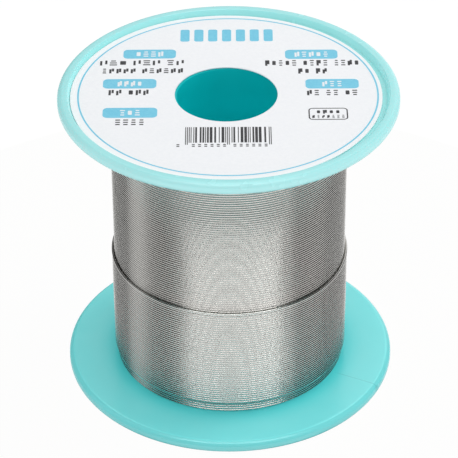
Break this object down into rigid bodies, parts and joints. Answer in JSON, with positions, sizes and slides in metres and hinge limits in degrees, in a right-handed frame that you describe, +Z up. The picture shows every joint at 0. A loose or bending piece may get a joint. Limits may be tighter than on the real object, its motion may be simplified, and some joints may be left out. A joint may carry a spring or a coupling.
{
  "type": "solder wire spool",
  "caption": "Small flanged plastic reel, level-wound with fine solder wire, with a printed paper ring label in its upper flange and a loose last turn of wire.",
  "frame": {"origin": "centre of the circle on which the lower flange stands", "axes": "+Z up along the spool's axis, from the lower flange to the labelled one; -Y is the front, from which the label reads upright"},
  "size_m": [0.0426, 0.0426, 0.0408],
  "materials": {
    "spool_plastic": "satin moulded polystyrene, slightly translucent turquoise",
    "label_paper": "coated white paper, printed",
    "solder": "bright drawn tin alloy wire"
  },
  "bodies": {
    "reel": {"upper_flange": "spool_plastic", "lower_flange": "spool_plastic", "barrel": "spool_plastic", "top_label": "label_paper", "solder_inner_layers": "solder", "solder_outer_layer": "solder", "solder_last_layer": "solder", "solder_start_tail": "solder"},
    "free_turn": {"solder_free_turn": "solder"}
  },
  "joints": [
    {"name": "free_turn_unwind", "type": "hinge", "parent": "reel", "child": "free_turn", "pos_m": [0, 0, 0.01722], "axis": [0.0053, 0, 1], "continuous": true}
  ]
}
